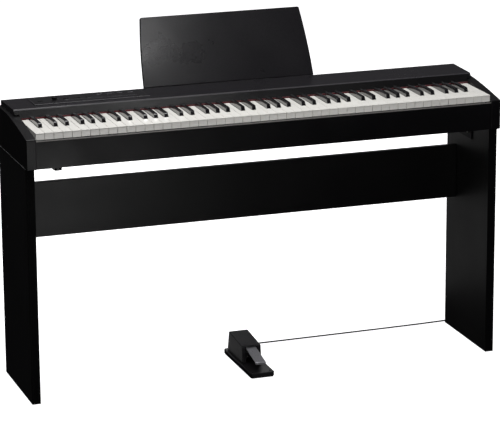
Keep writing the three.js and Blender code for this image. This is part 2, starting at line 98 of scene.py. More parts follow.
def make_world():
    """White behind the object; for the light it gives, dark below the horizon and soft grey above."""
    world = bpy.data.worlds.new("studio")
    bpy.context.scene.world = world
    world.use_nodes = True
    nodes, links = world.node_tree.nodes, world.node_tree.links
    nodes.clear()
    out = nodes.new("ShaderNodeOutputWorld")
    seen = nodes.new("ShaderNodeBackground")
    lit = nodes.new("ShaderNodeBackground")
    path = nodes.new("ShaderNodeLightPath")
    mix = nodes.new("ShaderNodeMixShader")
    direction = nodes.new("ShaderNodeTexCoord")
    split = nodes.new("ShaderNodeSeparateXYZ")
    rise = nodes.new("ShaderNodeMapRange")
    rise.interpolation_type = "SMOOTHSTEP"
    rise.inputs["From Min"].default_value = -0.10
    rise.inputs["From Max"].default_value = 0.30
    rise.inputs["To Min"].default_value = WORLD_LOW
    rise.inputs["To Max"].default_value = WORLD_HIGH
    links.new(direction.outputs["Generated"], split.inputs[0])
    links.new(split.outputs["Z"], rise.inputs["Value"])
    links.new(rise.outputs["Result"], lit.inputs["Strength"])
    links.new(path.outputs["Is Camera Ray"], mix.inputs["Fac"])
    links.new(lit.outputs[0], mix.inputs[1])
    links.new(seen.outputs[0], mix.inputs[2])
    links.new(mix.outputs[0], out.inputs["Surface"])
    seen.inputs["Color"].default_value = (1, 1, 1, 1)
    lit.inputs["Color"].default_value = WORLD_TINT


def make_floor():
    mesh = bpy.data.meshes.new("floor")
    half = 14.0
    corners = [(-half, -half, 0), (half, -half, 0), (half, half, 0), (-half, half, 0)]
    mesh.from_pydata(corners, [], [(0, 1, 2, 3)])
    floor = bpy.data.objects.new("floor", mesh)
    bpy.context.collection.objects.link(floor)
    floor.location.z = -0.0005
    paint = bpy.data.materials.new("floor_paint")
    paint.use_nodes = True
    shader = paint.node_tree.nodes["Principled BSDF"]
    shader.inputs["Base Color"].default_value = (0.93, 0.93, 0.93, 1)
    shader.inputs["Roughness"].default_value = 0.9
    shader.inputs["Specular IOR Level"].default_value = 0.0
    shader.inputs["Emission Color"].default_value = (1, 1, 1, 1)
    shader.inputs["Emission Strength"].default_value = 0.93
    mesh.materials.append(paint)
    floor.visible_glossy = False
    floor.visible_diffuse = False


def make_stage():
    make_camera()
    make_world()
    make_floor()
    softbox("overhead", (-0.6, 0.1, 3.6), (0, 0, 0.5), (3.2, 2.2), 104)
    softbox("left_front_card", (-0.28, -1.45, 0.28), (-0.40, 0, 0.35), (0.5, 0.52), 1.45)
    softbox("rest_card", (-0.03, -0.62, 1.46), (-0.25, 0.16, 0.85), (0.16, 0.22), 2.0)
    softbox("floor_card", (0.20, 1.05, 0.03), (0.20, 1.05, 1.0), (1.2, 1.5), 0.6)
    softbox("pedal_card", (-0.17, 0.13, 0.012), (-0.17, 0.13, 1.0), (0.26, 0.40), 0.07)
    softbox("right_front_fill", (2.0, -3.0, 1.3), (0.3, 0, 0.7), (1.2, 1.2), 30)
    softbox("right_side", (3.6, 0.6, 1.6), (0, 0, 0.5), (1.6, 1.6), 14)
    softbox("behind_low", (0.7, 2.6, 0.40), (0.5, 0, 0.6), (1.9, 0.7), 6)
    softbox("behind", (-0.2, 4.4, 1.9), (0, 0, 0.5), (3.0, 1.4), 24)
    for name in ("behind", "right_front_fill"):
        bpy.data.objects[name].visible_glossy = False
    bpy.context.scene.view_settings.view_transform = "Standard"


make_stage()


# ---- Materials ----------------------------------------------------------------------------------

def node_material(name, slot_colour):
    paint = bpy.data.materials.new(name)
    paint.use_nodes = True
    shader = paint.node_tree.nodes["Principled BSDF"]
    shader.inputs["Base Color"].default_value = (*slot_colour, 1)
    return paint, paint.node_tree.nodes, paint.node_tree.links, shader


def noise(nodes, links, scale, detail=3.0, stretch=(1, 1, 1)):
    place = nodes.new("ShaderNodeTexCoord")
    mapping = nodes.new("ShaderNodeMapping")
    mapping.inputs["Scale"].default_value = stretch
    texture = nodes.new("ShaderNodeTexNoise")
    texture.inputs["Scale"].default_value = scale
    texture.inputs["Detail"].default_value = detail
    links.new(place.outputs["Object"], mapping.inputs["Vector"])
    links.new(mapping.outputs["Vector"], texture.inputs["Vector"])
    return texture.outputs["Fac"]


def spread(nodes, links, value, low, high, source=(0.3, 0.7)):
    node = nodes.new("ShaderNodeMapRange")
    node.inputs["From Min"].default_value = source[0]
    node.inputs["From Max"].default_value = source[1]
    node.inputs["To Min"].default_value = low
    node.inputs["To Max"].default_value = high
    links.new(value, node.inputs["Value"])
    return node.outputs["Result"]


def raise_grain(nodes, links, shader, height, depth, strength=1.0):
    bump = nodes.new("ShaderNodeBump")
    bump.inputs["Distance"].default_value = depth
    bump.inputs["Strength"].default_value = strength
    links.new(height, bump.inputs["Height"])
    links.new(bump.outputs["Normal"], shader.inputs["Normal"])


def tint(nodes, links, shader, value, dark, light, source=(0.3, 0.7)):
    ramp = nodes.new("ShaderNodeMapRange")
    ramp.data_type = "FLOAT_VECTOR"
    for socket, number in (("From Min", source[0]), ("From Max", source[1])):
        found = [s for s in ramp.inputs if s.name == socket and s.type == "VECTOR"][0]
        found.default_value = (number,) * 3
    for socket, colour in (("To Min", dark), ("To Max", light)):
        found = [s for s in ramp.inputs if s.name == socket and s.type == "VECTOR"][0]
        found.default_value = colour
    vector = [s for s in ramp.inputs if s.name == "Vector"][0]
    links.new(value, vector)
    out = [s for s in ramp.outputs if s.type == "VECTOR"][0]
    links.new(out, shader.inputs["Base Color"])


def satin_plastic(name, colour, rough, grain=1400, depth=0.00004, specular=0.3, smudge=0.06):
    """Moulded plastic with a fine spark-eroded grain and faint patches where hands have polished it."""
    paint, nodes, links, shader = node_material(name, colour)
    shader.inputs["Specular IOR Level"].default_value = specular
    fine = noise(nodes, links, grain, 2.0)
    raise_grain(nodes, links, shader, fine, depth)
    patches = noise(nodes, links, 9, 5.0)
    links.new(spread(nodes, links, patches, rough - smudge, rough + smudge), shader.inputs["Roughness"])
    lighter = tuple(c * 1.25 + 0.0006 for c in colour)
    darker = tuple(c * 0.8 for c in colour)
    tint(nodes, links, shader, noise(nodes, links, 300, 2.0), darker, lighter)
    return paint


def board_laminate(name, colour, specular=0.7):
    """Black melamine on particle board: a fine ash-like grain pressed along Z, almost matt."""
    paint, nodes, links, shader = node_material(name, colour)
    shader.inputs["Specular IOR Level"].default_value = specular
    pores = noise(nodes, links, 260, 4.0, (5, 5, 0.25))
    raise_grain(nodes, links, shader, pores, 0.00006, 0.7)
    clouds = noise(nodes, links, 5, 4.0)
    links.new(spread(nodes, links, clouds, 0.36, 0.46), shader.inputs["Roughness"])
    lighter = tuple(c * 1.3 + 0.0005 for c in colour)
    darker = tuple(c * 0.75 for c in colour)
    tint(nodes, links, shader, pores, darker, lighter)
    return paint


def key_plastic(name, colour, rough, specular, wear=0.04):
    """Polished acrylic key tops with faint finger marks and hairline scratches along the key."""
    paint, nodes, links, shader = node_material(name, colour)
    shader.inputs["Specular IOR Level"].default_value = specular
    marks = noise(nodes, links, 34, 4.0)
    links.new(spread(nodes, links, marks, rough - wear, rough + wear), shader.inputs["Roughness"])
    hairlines = noise(nodes, links, 900, 2.0, (4, 0.15, 1))
    raise_grain(nodes, links, shader, hairlines, 0.000012, 0.5)
    shade = tuple(c * 0.965 for c in colour)
    tint(nodes, links, shader, noise(nodes, links, 18, 3.0), shade, colour)
    return paint


def piano_black(name):
    """Hard glossy coat over dyed plastic, with fine scratches that run along the key."""
    paint = key_plastic(name, (0.0024, 0.0023, 0.0027), 0.12, 0.6, 0.03)
    shader = paint.node_tree.nodes["Principled BSDF"]
    shader.inputs["Coat Weight"].default_value = 1.0
    shader.inputs["Coat IOR"].default_value = 1.5
    shader.inputs["Coat Roughness"].default_value = 0.06
    return paint


def felt(name, colour):
    """Pressed wool: short crossing fibres and a soft sheen."""
    paint, nodes, links, shader = node_material(name, colour)
    shader.inputs["Roughness"].default_value = 0.95
    shader.inputs["Specular IOR Level"].default_value = 0.1
    shader.inputs["Sheen Weight"].default_value = 0.6
    shader.inputs["Sheen Roughness"].default_value = 0.5
    fibres = noise(nodes, links, 2600, 5.0, (0.35, 1, 1))
    raise_grain(nodes, links, shader, fibres, 0.0003)
    tint(nodes, links, shader, fibres, tuple(c * 0.5 for c in colour), tuple(c * 1.5 for c in colour))
    return paint


def brushed_metal(name, colour, rough, stretch=(60, 1, 60), scale=120, metallic=0.9):
    """Metal with a straight brushed finish across stretch's long axis."""
    paint, nodes, links, shader = node_material(name, colour)
    shader.inputs["Metallic"].default_value = metallic
    lines = noise(nodes, links, scale, 3.0, stretch)
    raise_grain(nodes, links, shader, lines, 0.00002, 0.6)
    links.new(spread(nodes, links, lines, rough - 0.08, rough + 0.1), shader.inputs["Roughness"])
    lighter = tuple(min(1, c * 1.08) for c in colour)
    tint(nodes, links, shader, lines, tuple(c * 0.85 for c in colour), lighter)
    return paint


def rubber(name, colour, rough=0.7):
    """Soft black rubber with a fine matt grain."""
    paint, nodes, links, shader = node_material(name, colour)
    shader.inputs["Specular IOR Level"].default_value = 0.3
    fine = noise(nodes, links, 1100, 3.0)
    raise_grain(nodes, links, shader, fine, 0.00008)
    links.new(spread(nodes, links, noise(nodes, links, 60, 3.0), rough - 0.08, rough + 0.08),
              shader.inputs["Roughness"])
    tint(nodes, links, shader, fine, tuple(c * 0.7 for c in colour), tuple(c * 1.4 for c in colour))
    return paint


PAINT = {
    "stand_board": board_laminate("stand_board", (0.0015, 0.0014, 0.0016)),
    "case_black": satin_plastic("case_black", (0.0028, 0.0026, 0.0031), 0.36, specular=0.34),
    # The cover's top takes a black about 4.6 times lighter than its forward faces (fallboard_black): lit and
    # shaded copies of one black, painted light.
    "cover_black": satin_plastic("cover_black", (0.0120, 0.0112, 0.0130), 0.31, specular=0.22),
    "fallboard_black": satin_plastic("fallboard_black", (0.0026, 0.0024, 0.0028), 0.42, specular=0.26),
    # A paler black for rounded edges: a painted highlight where the edge catches light.
    "rounding_painted_highlight": satin_plastic("rounding_painted_highlight", (0.036, 0.034, 0.038), 0.36),
    # A much paler colour for the key slip's top rounding: a painted highlight.
    "slip_painted_highlight": satin_plastic("slip_painted_highlight", (0.13, 0.125, 0.12), 0.38),
    "rest_black": satin_plastic("rest_black", (0.0092, 0.0086, 0.0100), 0.30),
    "trim_black": satin_plastic("trim_black", (0.0070, 0.0066, 0.0076), 0.28, specular=0.5),
    "control_black": satin_plastic("control_black", (0.004, 0.0038, 0.0044), 0.36),
    "white_key": key_plastic("white_key", (0.86, 0.845, 0.80), 0.22, 0.5),
    "black_key": piano_black("black_key"),
    "red_felt": felt("red_felt", (0.10, 0.004, 0.008)),
    "black_bracket": satin_plastic("black_bracket", (0.006, 0.006, 0.0065), 0.5, 700, 0.00008),
    "speaker_cone": rubber("speaker_cone", (0.01, 0.01, 0.01)),
    "circuit_board": satin_plastic("circuit_board", (0.01, 0.10, 0.03), 0.4),
    "rail_steel": brushed_metal("rail_steel", (0.5, 0.5, 0.52), 0.4, (1, 40, 40)),
    "sole_rubber": rubber("sole_rubber", (0.006, 0.006, 0.006)),
    "pedal_black": satin_plastic("pedal_black", (0.0115, 0.0109, 0.0123), 0.42, 500, 0.00012),
    "lever_metal": brushed_metal("lever_metal", (0.60, 0.60, 0.63), 0.34, metallic=0.72),
    "pin_steel": brushed_metal("pin_steel", (0.55, 0.55, 0.56), 0.3, (1, 40, 40)),
    "spring_steel": brushed_metal("spring_steel", (0.5, 0.5, 0.5), 0.3, (30, 30, 1)),
    "plug_plastic": satin_plastic("plug_plastic", (0.004, 0.004, 0.004), 0.4),
    "cord_rubber": rubber("cord_rubber", (0.006, 0.006, 0.006), 0.5),
    "panel_print": satin_plastic("panel_print", (0.16, 0.16, 0.17), 0.5),
    # A pale colour for the strip in the seam under the case: a painted highlight.
    "seam_painted_highlight": satin_plastic("seam_painted_highlight", (0.22, 0.22, 0.225), 0.35),
    "lamp_lens": satin_plastic("lamp_lens", (0.10, 0.006, 0.006), 0.2),
    "edge_band": satin_plastic("edge_band", (0.0022, 0.0021, 0.0024), 0.62, 900, 0.00003, 0.08),
}


# ---- Mesh helpers --------------------------------------------------------------------------------

def place(obj, body, slot, replaced=()):
    obj.data.materials.clear()
    obj.data.materials.append(PAINT[slot])
    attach(obj, body)
    if replaced:
        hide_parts(*replaced)
    return obj


def reshape(mesh, change):
    form = bmesh.new()
    form.from_mesh(mesh)
    change(form)
    form.to_mesh(mesh)
    form.free()


def piece(name, verts, faces, body, slot, replaced=()):
    """A smooth-shaded piece from points and faces, with every face turned outward."""
    mesh = bpy.data.meshes.new(name)
    mesh.from_pydata(verts, [], faces)
    mesh.update()
    reshape(mesh, lambda form: bmesh.ops.recalc_face_normals(form, faces=form.faces))
    obj = bpy.data.objects.new(name, mesh)
    bpy.context.collection.objects.link(obj)
    mesh.shade_smooth()
    return place(obj, body, slot, replaced)


def stack(rings):
    """Vertices and faces of a closed form through rings of points of one count, bottom to top."""
    count = len(rings[0])
    verts = [tuple(p) for ring in rings for p in ring]
    faces = [tuple(reversed(range(count)))]
    for level in range(len(rings) - 1):
        for i in range(count):
            j = (i + 1) % count
            a, b = level * count, (level + 1) * count
            faces.append((a + i, a + j, b + j, b + i))
    top = (len(rings) - 1) * count
    faces.append(tuple(range(top, top + count)))
    return verts, faces


def soften(obj, width, segments=3, angle=35):
    """Rounds the hard edges of a form and keeps its flats flat."""
    bevel = obj.modifiers.new("bevel", "BEVEL")
    bevel.width = width
    bevel.segments = segments
    bevel.limit_method = "ANGLE"
    bevel.angle_limit = math.radians(angle)
    bevel.harden_normals = True
    bevel.use_clamp_overlap = True
    return obj


def paint_node(node, slot, edge=0.0, segments=3):
    """A CAD node that keeps its own shape: a better material and softer edges."""
    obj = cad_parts[node]
    obj.data.materials.clear()
    obj.data.materials.append(PAINT[slot])
    if edge:
        weld = obj.modifiers.new("weld", "WELD")
        weld.merge_threshold = WELD_GAP
        flats = obj.modifiers.new("flats", "DECIMATE")
        flats.decimate_type = "DISSOLVE"
        flats.angle_limit = FLAT_ANGLE
        soften(obj, edge, segments)
    return obj


def traced(node, name, body, slot):
    """A new piece in the shape of a CAD node, welded and with whole flats, so that its edges can round."""
    def weld(form):
        bmesh.ops.remove_doubles(form, verts=form.verts, dist=WELD_GAP)
        bmesh.ops.dissolve_limit(form, angle_limit=FLAT_ANGLE, verts=form.verts, edges=form.edges)

    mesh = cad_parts[node].data.copy()
    mesh.name = name
    reshape(mesh, weld)
    obj = bpy.data.objects.new(name, mesh)
    bpy.context.collection.objects.link(obj)
    return place(obj, body, slot, (node,))


def weigh_edges(obj, test):
    """Marks the edges whose two ends pass a test, so that a bevel can take those alone."""
    def weigh(form):
        layer = form.edges.layers.float.new("bevel_weight_edge")
        for edge in form.edges:
            if all(test(v.co) for v in edge.verts):
                edge[layer] = 1.0

    reshape(obj.data, weigh)


def round_marked(obj, width, segments=5):
    bevel = obj.modifiers.new("rounding", "BEVEL")
    bevel.limit_method = "WEIGHT"
    bevel.width = width
    bevel.segments = segments
    bevel.harden_normals = True


def paint_highlight_on_rounding(obj):
    """Paints a highlight on the marked rounding: a paler material stands in for the light that the edge
    catches.
    """
    obj.data.materials.append(PAINT["rounding_painted_highlight"])
    obj.modifiers["rounding"].material = 1


def loft_x(name, profile, x0, x1, body, slot, replaced=()):
    """A profile of (y, z) points drawn along X."""
    rings = [[(x, y, z) for y, z in profile] for x in (x1, x0)]
    verts, faces = stack(rings)
    return piece(name, verts, faces, body, slot, replaced)


def upright_to(axis):
    return Vector((0, 0, 1)).rotation_difference(Vector(axis)).to_matrix()


def turned(name, profile, centre, axis, body, slot, replaced=(), sides=32, wave=None):
    """A lathed form. profile gives (radius, height along the axis), and wave changes the radius by angle."""
    turn = upright_to(axis)
    rings = []
    for radius, height in profile:
        ring = []
        for k in range(sides):
            angle = 2 * math.pi * k / sides
            r = radius + (wave(angle, radius) if wave else 0)
            ring.append(Vector(centre) + turn @ Vector((r * math.cos(angle), r * math.sin(angle), height)))
        rings.append(ring)
    verts, faces = stack(rings)
    obj = piece(name, verts, faces, body, slot, replaced)
    obj.data.set_sharp_from_angle(angle=math.radians(38))
    return obj


def arc(cx, cy, radius, start, stop, steps=5):
    """Points on a circle, by angle in degrees."""
    angles = [math.radians(start + (stop - start) * k / steps) for k in range(steps + 1)]
    return [(cx + radius * math.cos(a), cy + radius * math.sin(a)) for a in angles]


def rounded_box_outline(x0, x1, y0, y1, r, steps=4):
    return (arc(x1 - r, y0 + r, r, -90, 0, steps) + arc(x1 - r, y1 - r, r, 0, 90, steps)
            + arc(x0 + r, y1 - r, r, 90, 180, steps) + arc(x0 + r, y0 + r, r, 180, 270, steps))


def pad(name, x0, x1, y0, y1, z0, z1, r, edge, body, slot, replaced=(), dish=0.0):
    """A rounded plate, with its top edge turned over and, if asked, a shallow dish in its top."""
    rings = []
    for z, inset in ((z0, 0), (z1 - edge, 0), (z1 - edge * 0.3, edge * 0.3), (z1, edge)):
        outline = rounded_box_outline(x0 + inset, x1 - inset, y0 + inset, y1 - inset, r)
        rings.append([(x, y, z) for x, y in outline])
    if dish:
        inset = edge * 2.2
        outline = rounded_box_outline(x0 + inset, x1 - inset, y0 + inset, y1 - inset, r * 0.8)
        rings.append([(x, y, z1 - dish) for x, y in outline])
    verts, faces = stack(rings)
    obj = piece(name, verts, faces, body, slot, replaced)
    obj.data.set_sharp_from_angle(angle=math.radians(50))
    return obj


SCREW_MESHES = {}


def screw_mesh(radius, height):
    """A domed screw head with a cross-shaped recess."""
    key = (round(radius, 5), round(height, 5))
    if key in SCREW_MESHES:
        return SCREW_MESHES[key]
    form = bmesh.new()
    sides = 24
    angles = [2 * math.pi * k / sides for k in range(sides)]
    dome = ((radius, 0), (radius, height * 0.35), (radius * 0.93, height * 0.7), (radius * 0.75, height))
    rings = [[form.verts.new((r * math.cos(a), r * math.sin(a), z)) for a in angles] for r, z in dome]
    for low_ring, high_ring in zip(rings, rings[1:]):
        for k in range(sides):
            n = (k + 1) % sides
            form.faces.new((low_ring[k], low_ring[n], high_ring[n], high_ring[k]))
    form.faces.new(list(reversed(rings[0])))
    long, wide = radius * 0.52, radius * 0.13
    cross = [(wide, wide), (wide, long), (-wide, long), (-wide, wide), (-long, wide), (-long, -wide),
             (-wide, -wide), (-wide, -long), (wide, -long), (wide, -wide), (long, -wide), (long, wide)]
    rim = [form.verts.new((x, y, height)) for x, y in cross]
    deep = [form.verts.new((x * 0.6, y * 0.6, height * 0.15)) for x, y in cross]
    edges = []
    for k in range(12):
        n = (k + 1) % 12
        edges.append(form.edges.new((rim[k], rim[n])))
        form.faces.new((rim[k], rim[n], deep[n], deep[k]))
    form.faces.new(list(reversed(deep)))
    top = rings[-1]
    edges += [form.edges.get((top[k], top[(k + 1) % sides])) for k in range(sides)]
    bmesh.ops.triangle_fill(form, use_beauty=True, edges=edges)
    bmesh.ops.recalc_face_normals(form, faces=form.faces)
    mesh = bpy.data.meshes.new("screw_head")
    form.to_mesh(mesh)
    form.free()
    mesh.shade_smooth()
    mesh.set_sharp_from_angle(angle=math.radians(40))
    SCREW_MESHES[key] = mesh
    return mesh


def screw(name, at, axis, radius, height, body, slot, spin=0.0):
    obj = bpy.data.objects.new(name, screw_mesh(radius, height).copy())
    bpy.context.collection.objects.link(obj)
    turn = upright_to(axis).to_4x4()
    obj.matrix_world = Matrix.Translation(at) @ turn @ Matrix.Rotation(math.radians(spin), 4, "Z")
    return place(obj, body, slot)


# ---- Pedal cord ------------------------------------------------------------------------------------

# The route's points are in millimetres, with depth from the front of the white keys, as in the CAD.
DEPTH_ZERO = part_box("key_c4")[0].y
CORD_DIAMETER = 4.0 * MM
CORD_EXIT = (-16.5, 262.3, 8)
FLOOR_ROUTE = [
    CORD_EXIT, (-16.3, 267, 7.2), (-15, 272, 5.4), (-12, 276.5, 3.6), (-7, 280, 2.5), (0, 282.2, 2.1),
    (10, 283.2, 2), (30, 283.8, 2), (60, 284.4, 2), (110, 285, 2), (170, 285.8, 2), (240, 287, 2),
    (310, 288.2, 2), (380, 289.6, 2), (450, 291.2, 2), (510, 293, 2), (560, 295, 2), (600, 297.4, 2),
    (625, 299.2, 2), (636, 299.9, 2), (643, 300, 2),
]
COIL_CENTRE = (656, 320)
COIL_RADIUS = 20
COIL_TURNS = 3.75
COIL_STEP = 4.0
COIL_RAMP = (210, 270)
RISE_ROUTE = [
    (636, 306.8, 14), (636, 304.4, 14.3), (636, 301, 15.8), (636, 298.2, 18.6), (636, 296.6, 22.6),
    (636, 296.2, 30), (636, 296.6, 60), (636, 298, 140), (636, 300, 250), (636, 301.8, 360),
    (636, 303.2, 470), (636, 304, 580), (636, 304, 636), (635.6, 304, 643), (633.6, 304, 649.5),
    (629.8, 304, 654.2), (626, 304, 655.8), (623, 304, 656),
]


def in_frame(point):
    x, y, z = point
    return Vector((x * MM, y * MM + DEPTH_ZERO, z * MM))


def smooth_route(points, steps=5):
    """A Catmull-Rom line through the points, with centripetal spacing so that it never overshoots."""
    ends = [points[0] * 2 - points[1], *points, points[-1] * 2 - points[-2]]
    line = []
    for p0, p1, p2, p3 in zip(ends, ends[1:], ends[2:], ends[3:]):
        t1 = math.sqrt((p1 - p0).length)
        t2 = t1 + math.sqrt((p2 - p1).length)
        t3 = t2 + math.sqrt((p3 - p2).length)
        for step in range(steps):
            t = t1 + (t2 - t1) * step / steps
            a1 = p0 * ((t1 - t) / t1) + p1 * (t / t1)
            a2 = p1 * ((t2 - t) / (t2 - t1)) + p2 * ((t - t1) / (t2 - t1))
            a3 = p2 * ((t3 - t) / (t3 - t2)) + p3 * ((t - t2) / (t3 - t2))
            b1 = a1 * ((t2 - t) / t2) + a2 * (t / t2)
            b2 = a2 * ((t3 - t) / (t3 - t1)) + a3 * ((t - t1) / (t3 - t1))
            line.append(b1 * ((t2 - t) / (t2 - t1)) + b2 * ((t - t1) / (t2 - t1)))
    line.append(points[-1])
    return line


def coil_line():
    """Nearly four turns that lie on each other: each climbs one cord's thickness in a short ramp."""
    points = []
    steps = int(COIL_TURNS * 48)
    start, stop = COIL_RAMP
    for k in range(1, steps):
        turned = 360 * COIL_TURNS * k / steps
        whole, part = divmod(turned, 360)
        ramp = min(1, max(0, (part - start) / (stop - start)))
        height = COIL_STEP * (whole + ramp * ramp * (3 - 2 * ramp))
        angle = math.radians(turned - 90)
        x = COIL_CENTRE[0] + COIL_RADIUS * math.cos(angle)
        y = COIL_CENTRE[1] + COIL_RADIUS * math.sin(angle)
        points.append(in_frame((x, y, 2 + height)))
    return points


def even_line(points, step):
    """The same line with points a fixed step apart."""
    out, left = [points[0]], step
    for a, b in zip(points, points[1:]):
        gap = (b - a).length
        while gap >= left:
            a = a + (b - a) * (left / gap)
            out.append(a)
            gap = (b - a).length
            left = step
        left -= gap
    if (out[-1] - points[-1]).length < step * 0.5:
        out.pop()
    out.append(points[-1])
    return out


def make_cord():
    route = [in_frame(p) for p in FLOOR_ROUTE[:-1]] + coil_line()[2:-3] + [in_frame(p) for p in RISE_ROUTE]
    line = even_line(smooth_route(route), 2.0 * MM)
    curve = bpy.data.curves.new("pedal_cord", "CURVE")
    curve.dimensions = "3D"
    curve.bevel_depth = CORD_DIAMETER / 2
    curve.bevel_resolution = 4
    curve.use_fill_caps = True
    spline = curve.splines.new("POLY")
    spline.points.add(len(line) - 1)
    for point, place_at in zip(spline.points, line):
        point.co = (*place_at, 1)
    spline.use_smooth = True
    cord = bpy.data.objects.new("pedal_cord", curve)
    bpy.context.collection.objects.link(cord)
    place(cord, "root", "cord_rubber", ("pedal_cord_floor", "pedal_cord_coil", "pedal_cord_rise"))
    with_pieces = [make_relief(), *make_plug(), make_tie()]


# ---- Keys ----------------------------------------------------------------------------------------------

WHITES = 52
low_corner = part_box("low_white_keys")[0]
high_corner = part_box("high_white_keys")[1]
KEY_GAP = 1.0 * MM
PITCH = (high_corner.x - low_corner.x + KEY_GAP) / WHITES
FIRST_EDGE = low_corner.x - KEY_GAP / 2
KEY_FRONT = low_corner.y
KEY_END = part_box("key_c4")[1].y
KEY_TOP = high_corner.z
KEY_FOOT = low_corner.z
BLACK_LOW, BLACK_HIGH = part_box("key_c4_sharp")
BLACK_HALF = (BLACK_HIGH.x - BLACK_LOW.x) / 2
BLACK_SHIFT = {0: -3 * MM, 1: 3 * MM, 3: -4 * MM, 4: 0, 5: 4 * MM}
REGISTERS = (("low", 0, 8), ("tenor", 9, 22), ("treble", 30, 43), ("high", 44, 51))
MIDDLE_C = 23
LETTERS = "cdefgab"


def note_of(i):
    return (i + 5) % 7


def left_edge(i):
    return FIRST_EDGE + i * PITCH


def black_after(i):
    shift = BLACK_SHIFT.get(note_of(i))
    if i < 0 or i >= WHITES - 1 or shift is None:
        return None
    return left_edge(i + 1) + shift


def white_outline(i, front):
    notch = BLACK_LOW.y - 2 * MM
    slot = BLACK_HALF + 1.2 * MM
    x0 = left_edge(i) + KEY_GAP / 2
    x1 = left_edge(i + 1) - KEY_GAP / 2
    before, after = black_after(i - 1), black_after(i)
    tail0 = x0 if before is None else before + slot
    tail1 = x1 if after is None else after - slot
    points = [(x0, front), (x1, front)]
    if after is not None:
        points += [(x1, notch), (tail1, notch)]
    points += [(tail1, KEY_END), (tail0, KEY_END)]
    if before is not None:
        points += [(tail0, notch), (x0, notch)]
    return points


def white_key(i, body, replaced=()):
    lip = 2.4 * MM
    setback = 0.9 * MM
    levels = ((KEY_FOOT, setback), (KEY_TOP - lip, setback), (KEY_TOP - lip, 0), (KEY_TOP, 0))
    rings = [[(x, y, z) for x, y in white_outline(i, KEY_FRONT + back)] for z, back in levels]
    verts, faces = stack(rings)
    obj = piece(f"white_key_{i + 1:02d}", verts, faces, body, "white_key", replaced)
    return soften(obj, 0.7 * MM, 3, 40)


def rectangle(x, half, y0, y1, z):
    return [(x - half, y0, z), (x + half, y0, z), (x + half, y1, z), (x - half, y1, z)]


def black_key(i, body, replaced=()):
    x = black_after(i)
    front, rear = BLACK_LOW.y, BLACK_LOW.y + 90 * MM
    crown = BLACK_HIGH.z
    foot = BLACK_LOW.z
    half = BLACK_HALF
    rings = [
        rectangle(x, half, front, rear, foot),
        rectangle(x, half, front, rear, KEY_TOP),
        rectangle(x, half - 0.35 * MM, front + 3.6 * MM, rear, crown - 2.4 * MM),
        rectangle(x, half - 0.75 * MM, front + 5.2 * MM, rear, crown - 0.8 * MM),
        rectangle(x, half - 1.7 * MM, front + 7.4 * MM, rear, crown),
    ]
    verts, faces = stack(rings)
    tail = [rectangle(x, half, rear + 0.01 * MM, KEY_END, z) for z in (foot, KEY_TOP)]
    more, tail_faces = stack(tail)
    offset = len(verts)
    faces += [tuple(v + offset for v in f) for f in tail_faces]
    obj = piece(f"black_key_{i + 1:02d}", verts + more, faces, body, "black_key", replaced)
    return soften(obj, 0.6 * MM, 3, 20)


def make_keys():
    for name, first, last in REGISTERS:
        whites, blacks = f"{name}_white_keys", f"{name}_black_keys"
        white_node, black_node = (whites,), (blacks,)
        for i in range(first, last + 1):
            white_key(i, whites, white_node)
            white_node = ()
            if black_after(i) is not None:
                black_key(i, blacks, black_node)
                black_node = ()
    for n, letter in enumerate(LETTERS):
        i = MIDDLE_C + n
        white_key(i, f"key_{letter}4", (f"key_{letter}4",))
        if black_after(i) is not None:
            black_key(i, f"key_{letter}4_sharp", (f"key_{letter}4_sharp",))


make_keys()


# ---- Case and stand -----------------------------------------------------------------------------------

def make_case():
    for side in ("left", "right"):
        paint_node(f"{side}_side_board", "stand_board", 1.4 * MM)
        paint_node(f"{side}_corner_bracket", "black_bracket", 0.5 * MM, 2)
        paint_node(f"{side}_rest_bracket", "black_bracket", 0.6 * MM, 2)
        paint_node(f"{side}_cheek", "case_black", 1.6 * MM)
        paint_node(f"{side}_speaker", "speaker_cone")
    paint_node("modesty_panel", "stand_board", 1.2 * MM)
    paint_node("bottom_board", "case_black", 0.4 * MM, 2)
    paint_node("rear_panel", "case_black", 0.4 * MM)
    paint_node("felt_strip", "red_felt", 0.8 * MM)
    paint_node("jack_plate", "trim_black", 0.4 * MM)
    paint_node("headphone_jack_box", "trim_black", 0.6 * MM)
    paint_node("main_board", "circuit_board")
    paint_node("key_guide_rail", "rail_steel")
    paint_node("key_pivot_rail", "rail_steel")


def make_key_slip():
    """The rail under the fronts of the keys, with its top front edge turned over and a painted highlight, in
    a much paler material, on that rounding.
    """
    low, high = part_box("key_slip")
    r = (high.y - low.y) - 0.1 * MM
    profile = [(low.y, low.z), (high.y, low.z), (high.y, high.z)]
    profile += arc(low.y + r, high.z - r, r, 90, 180, 8)
    slip = loft_x("key_slip_board", profile, low.x, high.x, "root", "case_black", ("key_slip",))
    slip.data.set_sharp_from_angle(angle=math.radians(40))
    # Painted highlight: the faces of the top rounding take the paler material.
    slip.data.materials.append(PAINT["slip_painted_highlight"])
    for face in slip.data.polygons:
        if abs(face.normal.z) > 0.15 and face.center.z > high.z - r:
            face.material_index = 1


def make_cover():
    """The top cover: its front edge is rounded and carries a painted highlight in a paler material; its top
    and side faces take a lighter black as painted light, and its forward faces a darker plain black.
    """
    cover = traced("top_cover", "piano_top_cover", "root", "cover_black")
    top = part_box("top_cover")[1].z
    deck_front = min(v.co.y for v in cover.data.vertices if top - v.co.z < ON_PLANE)
    weigh_edges(cover, lambda p: top - p.z < ON_PLANE and abs(p.y - deck_front) < 2 * ON_PLANE)
    round_marked(cover, 3.4 * MM, 5)
    # Painted highlight on the rounded front edge of the deck.
    paint_highlight_on_rounding(cover)
    # Forward faces take the darker black; the top keeps the lighter, painted-lit one.
    for face in cover.data.polygons:
        if face.normal.y < -0.5:
            face.material_index = 2
    cover.data.materials.append(PAINT["fallboard_black"])
    soften(cover, 0.7 * MM, 3, 40)


make_case()
make_key_slip()
make_cover()


# ---- Control panel -----------------------------------------------------------------------------------

